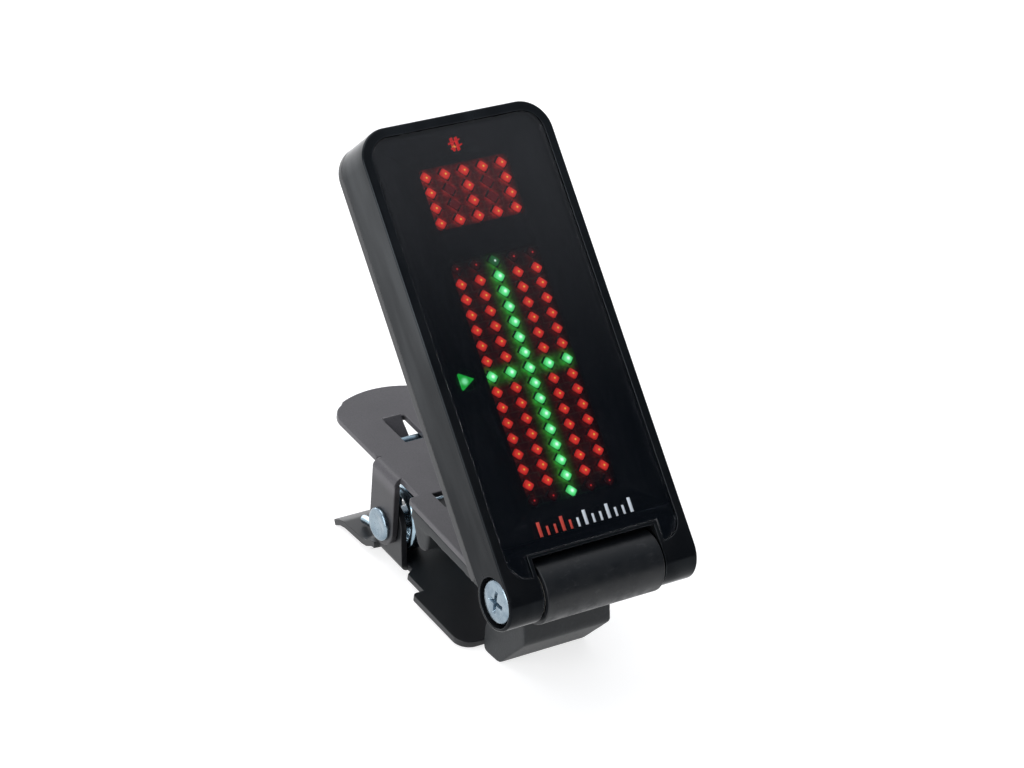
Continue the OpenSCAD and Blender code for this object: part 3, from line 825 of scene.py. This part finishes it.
def rounded_block(shape, low, high, radius, place=Matrix.Identity(4), material=0, segments=2, corner=0.0):
    """Adds a block with rounded edges to a shape, its four edges along Y rounded by corner first."""
    size = Vector(high) - Vector(low)
    middle = (Vector(high) + Vector(low)) / 2
    block = bmesh.new()
    bmesh.ops.create_cube(block, size=1.0, matrix=Matrix.Translation(middle) @ Matrix.Diagonal((*size, 1)))
    if corner:
        upright = [edge for edge in block.edges
                   if abs(edge.verts[0].co.y - edge.verts[1].co.y) > size.y / 2]
        bmesh.ops.bevel(block, geom=upright, offset=corner, segments=5, profile=0.5, affect="EDGES")
    sharp = [edge for edge in block.edges if edge_turn(edge) > math.radians(30)]
    bmesh.ops.bevel(block, geom=sharp, offset=radius, segments=segments, profile=0.5, affect="EDGES")
    for face in block.faces:
        face.smooth = True
        face.material_index = material
    mesh = finished(block)
    add_copy(shape, mesh, place)
    bpy.data.meshes.remove(mesh)


def rounded_path(points, radius, steps=8):
    """The path through the points with each inner corner rounded to that radius."""
    path = [points[0]]
    for before, corner, after in zip(points, points[1:], points[2:]):
        inward = (before - corner).normalized()
        outward = (after - corner).normalized()
        half = inward.angle(outward) / 2
        reach = radius / math.tan(half)
        centre = corner + (inward + outward).normalized() * radius / math.sin(half)
        first = corner + inward * reach - centre
        last = corner + outward * reach - centre
        for step in range(steps + 1):
            share = step / steps
            spoke = first.lerp(last, share).normalized() * radius
            path.append(centre + spoke)
    path.append(points[-1])
    return path


def wire_mesh(path, radius, sides=14):
    """A round wire along the path, with domed ends."""
    shape = bmesh.new()
    tangents = []
    for i in range(len(path)):
        ahead = path[min(i + 1, len(path) - 1)]
        behind = path[max(i - 1, 0)]
        tangents.append((ahead - behind).normalized())
    normal = tangents[0].orthogonal().normalized()
    rings = []
    last = len(path) - 1
    for i, point in enumerate(path):
        tangent = tangents[i]
        normal = (normal - tangent * normal.dot(tangent)).normalized()
        side = tangent.cross(normal)
        stations = [(0.0, 1.0)]
        if i == 0:
            stations = [(-0.5, 0.35), (-0.42, 0.7), (-0.2, 0.93), (0.0, 1.0)]
        if i == last:
            stations = [(0.0, 1.0), (0.2, 0.93), (0.42, 0.7), (0.5, 0.35)]
        for shift, scale in stations:
            ring = []
            for step in range(sides):
                angle = 2 * math.pi * step / sides
                spoke = normal * math.cos(angle) + side * math.sin(angle)
                ring.append(shape.verts.new(point + tangent * shift * radius + spoke * radius * scale))
            rings.append(ring)
    skin(shape, rings)
    shape.faces.new(rings[0][::-1])
    shape.faces.new(rings[-1])
    return finished(smoothed(shape))


def middle_of(node):
    low, high = local_box(node)
    return (low + high) / 2


def island_middles(node):
    """The middle of each separate solid in a CAD node of the head."""
    shape = cad_mesh(node)
    unseen = set(shape.verts)
    middles = []
    while unseen:
        stack = [unseen.pop()]
        island = []
        while stack:
            vertex = stack.pop()
            island.append(vertex.co.copy())
            for edge in vertex.link_edges:
                other = edge.other_vert(vertex)
                if other in unseen:
                    unseen.remove(other)
                    stack.append(other)
        low, high = span(island)
        middles.append((low + high) / 2)
    shape.free()
    return sorted(middles, key=lambda point: (round(point.z, 6), round(point.x, 6)))


# ---- display head ------------------------------------------------------------


def make_housing(paint):
    """Polished shell: broad rounding round the outside, crisp edges at the lens and the notch."""
    shape = cad_mesh("front_housing")
    half = HOUSING_HIGH.x
    top = HOUSING_HIGH.z
    corner = 3.8 * MM
    near = 0.03 * MM
    knuckle_radius = -HOUSING_LOW.z
    pocket_floors = (LENS_HIGH.y + 0.1 * MM, LENS_HIGH.y + 0.2 * MM)

    def weight(point):
        from_hinge = Vector((point.y, point.z)).length
        behind_lens = any(abs(point.y - floor) < 0.01 * MM for floor in pocket_floors)
        outside = abs(point.x) > half - near or point.z > top - near
        if abs(point.x) > half - corner and point.z > top - corner:
            centre = Vector((half - corner, top - corner))
            outside = (Vector((abs(point.x), point.z)) - centre).length > corner - near
        if not outside:
            return 0.0 if behind_lens else 0.14
        if from_hinge < 3.1 * MM:
            return 0.2
        if point.z < COVER_LOW.z:
            return 1.0 - 0.55 * max(0.0, point.y / knuckle_radius)
        at_seam = point.y > COVER_LOW.y - near and point.z > COVER_LOW.z - near
        return 0.45 if at_seam else 1.0

    weigh_edges(shape, weight)
    shell = new_piece("front_housing_shell", finished(shape), [paint], "front_housing")
    round_edges(shell, 0.28 * MM, 4, weighted=True)


def make_lens(glass):
    shape = cad_mesh("lens_window")
    front = LENS_LOW.y + 0.1 * MM
    weigh_edges(shape, lambda point: 1.0 if point.y < front else 0.3)
    lens = new_piece("lens_window_polished", finished(shape), [glass], "lens_window")
    round_edges(lens, 0.17 * MM, 3, weighted=True)


def lamp_shape():
    """One surface-mount lamp standing on the board, along X, with y = 0 on the board."""
    shape = bmesh.new()
    half_length = 0.8 * MM
    half_width = 0.44 * MM
    resin_half = 0.6 * MM
    base_low = (-resin_half, -0.1 * MM, -half_width)
    rounded_block(shape, base_low, (resin_half, 0, half_width), 0.03 * MM, material=1)
    for side in (-1, 1):
        inner = side * (resin_half - 0.02 * MM)
        outer = side * half_length
        low = (min(inner, outer), -0.23 * MM, -half_width - 0.01 * MM)
        high = (max(inner, outer), 0, half_width + 0.01 * MM)
        rounded_block(shape, low, high, 0.05 * MM, material=2)
    before = set(shape.verts)
    resin_low = (-resin_half, -0.42 * MM, -half_width)
    resin_high = (resin_half, -0.08 * MM, half_width)
    rounded_block(shape, resin_low, resin_high, 0.08 * MM, segments=3, corner=0.2 * MM)
    for vertex in set(shape.verts) - before:
        lift = max(0.0, 1 - (vertex.co.x / resin_half) ** 2) * max(0.0, 1 - (vertex.co.z / half_width) ** 2)
        if vertex.co.y < -0.35 * MM:
            vertex.co.y -= 0.05 * MM * lift
    return finished(shape)


def make_lamps(node, name, resin, base, solder):
    """One copy of the lamp, turned by 45 degrees, for each lamp of the node."""
    prototype = lamp_shape()
    shape = bmesh.new()
    turn = Matrix.Rotation(math.radians(45), 4, "Y")
    for middle in island_middles(node):
        add_copy(shape, prototype, Matrix.Translation((middle.x, BOARD_FACE, middle.z)) @ turn)
    new_piece(name, finished(shape), [resin, base, solder], node)


def make_sharp_sign(glow):
    """The lit sharp sign: two upright and two slanting strokes."""
    shape = bmesh.new()
    middle = Matrix.Translation((SIGN_LOW + SIGN_HIGH) / 2)
    slant = middle @ Matrix.Rotation(math.radians(-12), 4, "Y")
    half_height = (SIGN_HIGH.z - SIGN_LOW.z) / 2
    half_width = SIGN_HIGH.x
    depth = (SIGN_HIGH.y - SIGN_LOW.y) / 2
    stroke = 0.08 * MM
    edge = 0.03 * MM
    for side in (-1, 1):
        x = side * 0.3 * MM
        low = (x - stroke, -depth, -half_height)
        high = (x + stroke, depth, half_height)
        rounded_block(shape, low, high, edge, middle)
        z = side * 0.32 * MM
        low = (-half_width, -depth, z - stroke)
        high = (half_width, depth, z + stroke)
        rounded_block(shape, low, high, edge, slant)
    new_piece("sharp_sign_light", finished(shape), [glow], "sharp_sign_lamp")


def make_scale_print(red, grey):
    """A plain printed scale of ticks under the lamps, where such a display carries its marking."""
    shape = bmesh.new()
    front = LENS_LOW.y - 0.012 * MM
    back = LENS_LOW.y + 0.01 * MM
    foot = 5.3 * MM
    ticks = 13
    red_ticks = 5
    spacing = 1.02 * MM
    for i in range(ticks):
        x = (i - (ticks - 1) / 2) * spacing
        tall = (1.7 if i % 3 == 0 else 1.05) * MM
        half_width = (0.21 if i % 3 == 0 else 0.15) * MM
        low = (x - half_width, front, foot)
        high = (x + half_width, back, foot + tall)
        rounded_block(shape, low, high, 0.008 * MM, material=0 if i < red_ticks else 1, segments=1)
    new_piece("printed_scale", finished(shape), [red, grey])


def make_hinge_screw(zinc):
    """Pan-head screw through both knuckles, its tip threaded for the nut."""
    low, high = local_box("hinge_screw")
    head = 2.65 * MM
    brow = 0.46 * MM
    shank = 1.5 * MM
    seat = low.x + 1.16 * MM
    points = [(low.x, 0), (low.x, 1.0 * MM), (low.x + 0.03 * MM, 1.7 * MM)]
    points += arc((low.x + 0.52 * MM, head - brow), brow, 165, 90)
    points += [(seat - 0.06 * MM, head), (seat, head - 0.06 * MM), (seat, shank)]
    thread_start = high.x - 3.0 * MM
    points.append((thread_start, shank))
    pitch = 0.35 * MM
    root = shank - 0.16 * MM
    turns = int((high.x - 0.2 * MM - thread_start) / pitch)
    for i in range(turns):
        along = thread_start + i * pitch
        points += [(along + pitch * 0.35, root), (along + pitch * 0.65, root)]
        points.append((along + pitch, shank - 0.01 * MM))
    points += [(high.x, shank - 0.3 * MM), (high.x, 0)]
    mesh = cut(turned(points), cross_cutter(low.x, 1.0 * MM, 1.55 * MM, 0.3 * MM))
    screw = new_piece("hinge_screw_turned", mesh, [zinc], "hinge_screw")
    round_edges(screw, 0.03 * MM, 2)


def seen_from_back(x, y, z):
    """Where a shape turned about X stands so that its length runs from that point into the head."""
    return Matrix.Translation((x, y, z)) @ Matrix.Rotation(math.radians(-90), 4, "Z")


def make_cover_screws(node, head_radius, shank_radius, material):
    """Small crosshead screws sunk in the back."""
    shape = bmesh.new()
    low, high = local_box(node)
    length = high.y - low.y
    rim = 0.13 * MM
    points = [(0, 0), (0, head_radius * 0.55)]
    points += arc((rim, head_radius - rim), rim, 180, 90, 4)
    points += [(0.3 * MM, head_radius), (0.44 * MM, head_radius * 0.8), (0.5 * MM, shank_radius)]
    points += [(length - 0.5 * MM, shank_radius), (length, 0)]
    template = cut(turned(points, 40), cross_cutter(0, 0.3 * MM, 0.72 * MM, 0.15 * MM))
    for middle in island_middles(node):
        add_copy(shape, template, seen_from_back(middle.x, high.y, middle.z))
    bpy.data.meshes.remove(template)
    round_edges(new_piece(node + "_turned", finished(shape), [material], node), 0.02 * MM, 2)


def raised_ring(outline, steps, *bars):
    """A mark to lie on the back: a ring turned from a closed outline, with straight bars across it."""
    ring = turned(outline, steps)
    bmesh.ops.remove_doubles(ring, verts=ring.verts, dist=0.001 * MM)
    for low, high, radius in bars:
        rounded_block(ring, low, high, radius)
    return finished(ring)


def make_button(rubber, white):
    """Soft power button with a dished face and a small raised ring and bar on it."""
    depth = BUTTON_HIGH.y - BUTTON_LOW.y
    radius = 3.1 * MM
    brow = 0.25 * MM
    flange = 3.7 * MM
    flange_top = BUTTON_HIGH.y - (COVER_LOW.y - 0.1 * MM)
    points = [(0.16 * MM, 0), (0.15 * MM, 0.8 * MM), (0.06 * MM, 1.9 * MM), (0, 2.5 * MM)]
    points += arc((brow, radius - brow), brow, 180, 90)
    points += [(flange_top, radius), (flange_top + 0.02 * MM, flange - 0.08 * MM)]
    points += [(flange_top + 0.08 * MM, flange), (flange_top + 0.5 * MM, flange)]
    points += [(flange_top + 0.55 * MM, radius), (depth, radius), (depth, 0)]
    middle = middle_of("power_button")
    place = seen_from_back(middle.x, BUTTON_HIGH.y, middle.z)
    mesh = finished(turned(points))
    mesh.transform(place)
    new_piece("power_button_moulded", mesh, [rubber], "power_button", "power_button")

    sunk = 0.3 * MM
    outline = [(0, 0.85 * MM), (-0.03 * MM, 0.9 * MM), (-0.03 * MM, 1.05 * MM), (0, 1.1 * MM),
               (sunk, 1.1 * MM), (sunk, 0.85 * MM), (0, 0.85 * MM)]
    bar = ((-0.04 * MM, -0.1 * MM, 0.3 * MM), (sunk, 0.1 * MM, 1.45 * MM), 0.03 * MM)
    mark = raised_ring(outline, 48, bar)
    mark.transform(place @ Matrix.Translation((0.13 * MM, 0, 0)))
    new_piece("power_mark", mark, [white], body="power_button")


def make_door(plastic):
    """Battery door with a raised ring the size of the cell and a plus sign in it."""
    refined("battery_door", "battery_door_moulded", plastic, 0.1 * MM)
    back = local_box("battery_door")[1].y
    radius = 8.6 * MM
    crest = 0.18 * MM
    foot = 0.26 * MM
    lift = 0.08 * MM
    sunk = 0.2 * MM
    outline = [(-lift, radius - crest), (-lift, radius + crest), (0, radius + foot), (sunk, radius + foot),
               (sunk, radius - foot), (0, radius - foot), (-lift, radius - crest)]
    bars = []
    for length, width in ((1.5 * MM, 0.22 * MM), (0.22 * MM, 1.5 * MM)):
        bars.append(((-lift, -length, -width), (sunk, length, width), 0.06 * MM))
    mark = raised_ring(outline, 96, *bars)
    mark.transform(seen_from_back(0, back, middle_of("coin_cell").z))
    new_piece("battery_door_mark", mark, [plastic])


# ---- clip --------------------------------------------------------------------


def make_rivet(zinc):
    """Pivot rivet with a dished, rolled-over head outside each ear."""
    half = local_box("pivot_rivet", CLIP)[1].x
    pin = 1.45 * MM
    head = 2.05 * MM
    thick = 0.55 * MM
    roll = 0.3 * MM
    one_end = [(half - 0.16 * MM, 0), (half - 0.15 * MM, 0.75 * MM), (half - 0.06 * MM, 1.15 * MM)]
    one_end.append((half, pin))
    one_end += arc((half - roll, head - roll), roll, 0, 90)
    one_end += [(half - thick + 0.05 * MM, head), (half - thick, head - 0.05 * MM), (half - thick, pin)]
    other_end = [(-along, radius) for along, radius in reversed(one_end)]
    mesh = finished(turned(one_end + other_end))
    mesh.transform(Matrix.Translation((0, PIVOT_IN_CLIP.y, PIVOT_IN_CLIP.z)))
    new_piece("pivot_rivet_formed", mesh, [zinc], "pivot_rivet", "upper_clip", CLIP)


def spring_path(wire, coil, centre, low, high):
    """The spring's middle line: lower leg, coil and upper leg, mirrored to the other side."""
    inner_x = 2.6 * MM
    pitch = 1.13 * MM
    bar = Vector((0, 37.6 * MM, high.z - wire))
    reach = bar - centre
    tangent_angle = math.atan2(reach.z, reach.y) + math.acos(coil / reach.length)
    end_angle = math.radians(270 + 720)
    turns = (end_angle - tangent_angle) / (2 * math.pi)

    def on_coil(angle, x):
        return Vector((x, centre.y + coil * math.cos(angle), centre.z + coil * math.sin(angle)))

    touch = on_coil(tangent_angle, inner_x)
    upper_leg = rounded_path([bar, bar + Vector((inner_x, 0, 0)), touch], 1.0 * MM)
    steps = 76
    winding = []
    for step in range(1, steps):
        share = step / steps
        angle = tangent_angle + (end_angle - tangent_angle) * share
        winding.append(on_coil(angle, inner_x + pitch * turns * share))
    outer_x = inner_x + pitch * turns
    leaving = on_coil(end_angle, outer_x)
    bend = leaving + Vector((0, 3.0 * MM, 0))
    tail_end = Vector((outer_x, 38.2 * MM, low.z + wire + 0.02 * MM))
    half = upper_leg + winding + rounded_path([leaving, bend, tail_end], 3.0 * MM)
    other = [Vector((-point.x, point.y, point.z)) for point in reversed(half[1:])]
    path = [other[0]]
    for point in (other + half)[1:]:
        if (point - path[-1]).length > 0.02 * MM:
            path.append(point)
    return path


def make_spring(zinc):
    """One continuous wire: tail, coil, crossbar, coil, tail."""
    wire = 0.55 * MM
    coil = 3.4 * MM
    low, high = local_box("torsion_spring", CLIP)
    centre = Vector((0, PIVOT_IN_CLIP.y, PIVOT_IN_CLIP.z))
    mesh = wire_mesh(spring_path(wire, coil, centre, low, high), wire)
    mesh.transform(CLIP)
    mesh.materials.append(zinc)
    spring = bpy.data.objects.new("torsion_spring_wire", mesh)
    bpy.context.collection.objects.link(spring)
    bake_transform(spring)
    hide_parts("torsion_spring")


# ---- assembly ----------------------------------------------------------------


def make_matrix():
    """The lamps, lit and unlit, on their board."""
    refined("main_board", "main_board_etched", circuit_board(), 0.04 * MM, 1)
    base = ceramic()
    tin = metal("solder", (0.10, 0.12, 0.11), (0.05, 0.065, 0.06), 0.5)
    red = lamp_resin("red_resin", (0.45, 0.016, 0.013), (0.80, 0.045, 0.03), (1.0, 0.62, 0.08),
                     strength=1.9, spread=0.18 * MM)
    green = lamp_resin("green_resin", (0.05, 0.45, 0.11), (0.13, 0.85, 0.27), (0.75, 1.0, 0.88),
                       strength=2.7, spread=0.33 * MM)
    fade_top_row(green)
    dim = lamp_resin("dim_resin", (0.010, 0.001, 0.001), (0.035, 0.003, 0.003), (0.9, 0.04, 0.04),
                     strength=1.6, spread=0.16 * MM)
    fade_spare_lamps(dim)
    make_lamps("red_lamps", "red_lamp_chips", red.material, base, tin)
    make_lamps("green_lamps", "green_lamp_chips", green.material, base, tin)
    make_lamps("unlit_lamps", "dim_lamp_chips", dim.material, base, tin)


def make_signs():
    """The lit sharp sign and pointer, and the printed scale."""
    sign_die = (-0.25 * MM, (SIGN_LOW.z + SIGN_HIGH.z) / 2 - 0.3 * MM)
    sign = glow_from("sign_glow", sign_die, 0.24 * MM, (0.55, 0.012, 0.010), (1.0, 0.42, 0.08), 1.7)
    make_sharp_sign(sign)
    pointer_die = (-8.75 * MM, 24.45 * MM)
    pointer = glow_from("pointer_glow", pointer_die, 0.6 * MM, (0.01, 0.36, 0.04), (0.3, 1.0, 0.5), 2.2)
    refined("pointer_lamp", "pointer_light", pointer, 0.06 * MM)
    ink_red = moulded("ink_red", (0.42, 0.035, 0.02), 0.4)
    ink_grey = moulded("ink_grey", (0.50, 0.54, 0.58), 0.4)
    make_scale_print(ink_red, ink_grey)


def make_inner_parts():
    """What stands between the board and the back cover."""
    steel = metal("pressed_steel", (0.62, 0.63, 0.65), (0.45, 0.46, 0.48), 0.32, brushed=(0.06, 1, 1))
    brass = metal("pickup_brass", (0.83, 0.62, 0.27), (0.66, 0.47, 0.2), 0.3)
    epoxy = moulded("chip_epoxy", (0.02, 0.02, 0.021), 0.55, grain=0.1 * MM)
    nylon = moulded("tray_nylon", (0.03, 0.03, 0.033), 0.5)
    refined("board_chips", "board_chips_moulded", epoxy, 0.06 * MM)
    refined("tactile_switch", "tactile_switch_pressed", steel, 0.1 * MM)
    refined("battery_tray", "battery_tray_moulded", nylon, 0.08 * MM)
    refined("coin_cell", "coin_cell_can", steel, 0.22 * MM, 3)
    refined("cell_contact_front", "cell_contact_front_strip", brass, 0.02 * MM)
    refined("cell_contact_side", "cell_contact_side_strip", brass, 0.02 * MM)
    refined("pickup_disc", "pickup_disc_pressed", brass, 0.03 * MM)


def make_back(zinc):
    """Cover, door, screws and button."""
    plastic = moulded("cover_plastic", (0.012, 0.0125, 0.014), 0.42)
    black_steel = metal("black_oxide", (0.05, 0.05, 0.055), (0.03, 0.03, 0.034), 0.4, wear=0.2)
    refined("back_cover", "back_cover_moulded", plastic, 0.12 * MM, 3)
    make_door(plastic)
    make_cover_screws("door_screw", 1.2 * MM, 0.78 * MM, zinc)
    make_cover_screws("case_screws", 1.3 * MM, 0.68 * MM, black_steel)
    rubber = moulded("button_rubber", (0.02, 0.02, 0.0215), 0.6)
    make_button(rubber, moulded("button_mark", (0.5, 0.5, 0.5), 0.5))


def make_head(zinc):
    make_housing(gloss_housing())
    make_lens(smoked_lens())
    film = finished(cad_mesh("display_mask", bridged=False))
    new_piece("display_mask_film", film, [printed_film()], "display_mask")
    make_matrix()
    make_signs()
    make_inner_parts()
    make_back(zinc)
    make_hinge_screw(zinc)
    refined("hinge_nut", "hinge_nut_chamfered", zinc, 0.12 * MM)
    dark_steel = metal("washer_steel", (0.10, 0.105, 0.115), (0.05, 0.052, 0.06), 0.3, wear=0.15)
    refined("hinge_washers", "hinge_washers_pressed", dark_steel, 0.06 * MM)


def make_clip(zinc):
    # The two plates share one black paint: the upper copy carries painted light on its flats, the lower
    # copy painted shade.
    upper = clip_paint("clip_paint_upper_lit", flat=(0.058, 0.055, 0.061), dark=(0.03, 0.03, 0.034),
                       edge=(0.10, 0.10, 0.106))
    lower = clip_paint("clip_paint_lower_shaded", flat=(0.010, 0.0115, 0.013), dark=(0.006, 0.0075, 0.009),
                       edge=(0.05, 0.052, 0.056))
    rubber = jaw_rubber()
    nylon = moulded("bush_nylon", (0.5, 0.49, 0.45), 0.5)
    refined("upper_jaw_plate", "upper_jaw_plate_pressed", upper, 0.13 * MM, 3, 0.05 * MM,
            "upper_clip", CLIP)
    refined("lower_jaw_plate", "lower_jaw_plate_pressed", lower, 0.08 * MM, 3, 0.1 * MM,
            "lower_clip", CLIP)
    softened("upper_jaw_pad", "upper_clip", rubber)
    softened("lower_jaw_boot", "lower_clip", rubber)
    refined("hinge_bush", "hinge_bush_turned", nylon, 0.1 * MM, body="upper_clip", place=CLIP)
    make_rivet(zinc)
    make_spring(metal("spring_wire", (0.36, 0.47, 0.54), (0.22, 0.31, 0.37), 0.2, brushed=(1, 0.2, 1)))


def make_floor():
    shape = bmesh.new()
    bmesh.ops.create_grid(shape, x_segments=2, y_segments=2, size=3.0)
    floor = bpy.data.objects.new("floor", finished(shape))
    bpy.context.collection.objects.link(floor)
    floor.location.z = cad_low.z
    floor.data.materials.append(white_floor())


bpy.context.scene.view_settings.view_transform = "Standard"
aim_camera()
light_studio()
light_room()
make_floor()
zinc_plate = metal("zinc_plated", (0.30, 0.37, 0.42), (0.17, 0.23, 0.28), 0.24, grain=0.5 * MM, wear=0.25)
make_head(zinc_plate)
make_clip(zinc_plate)
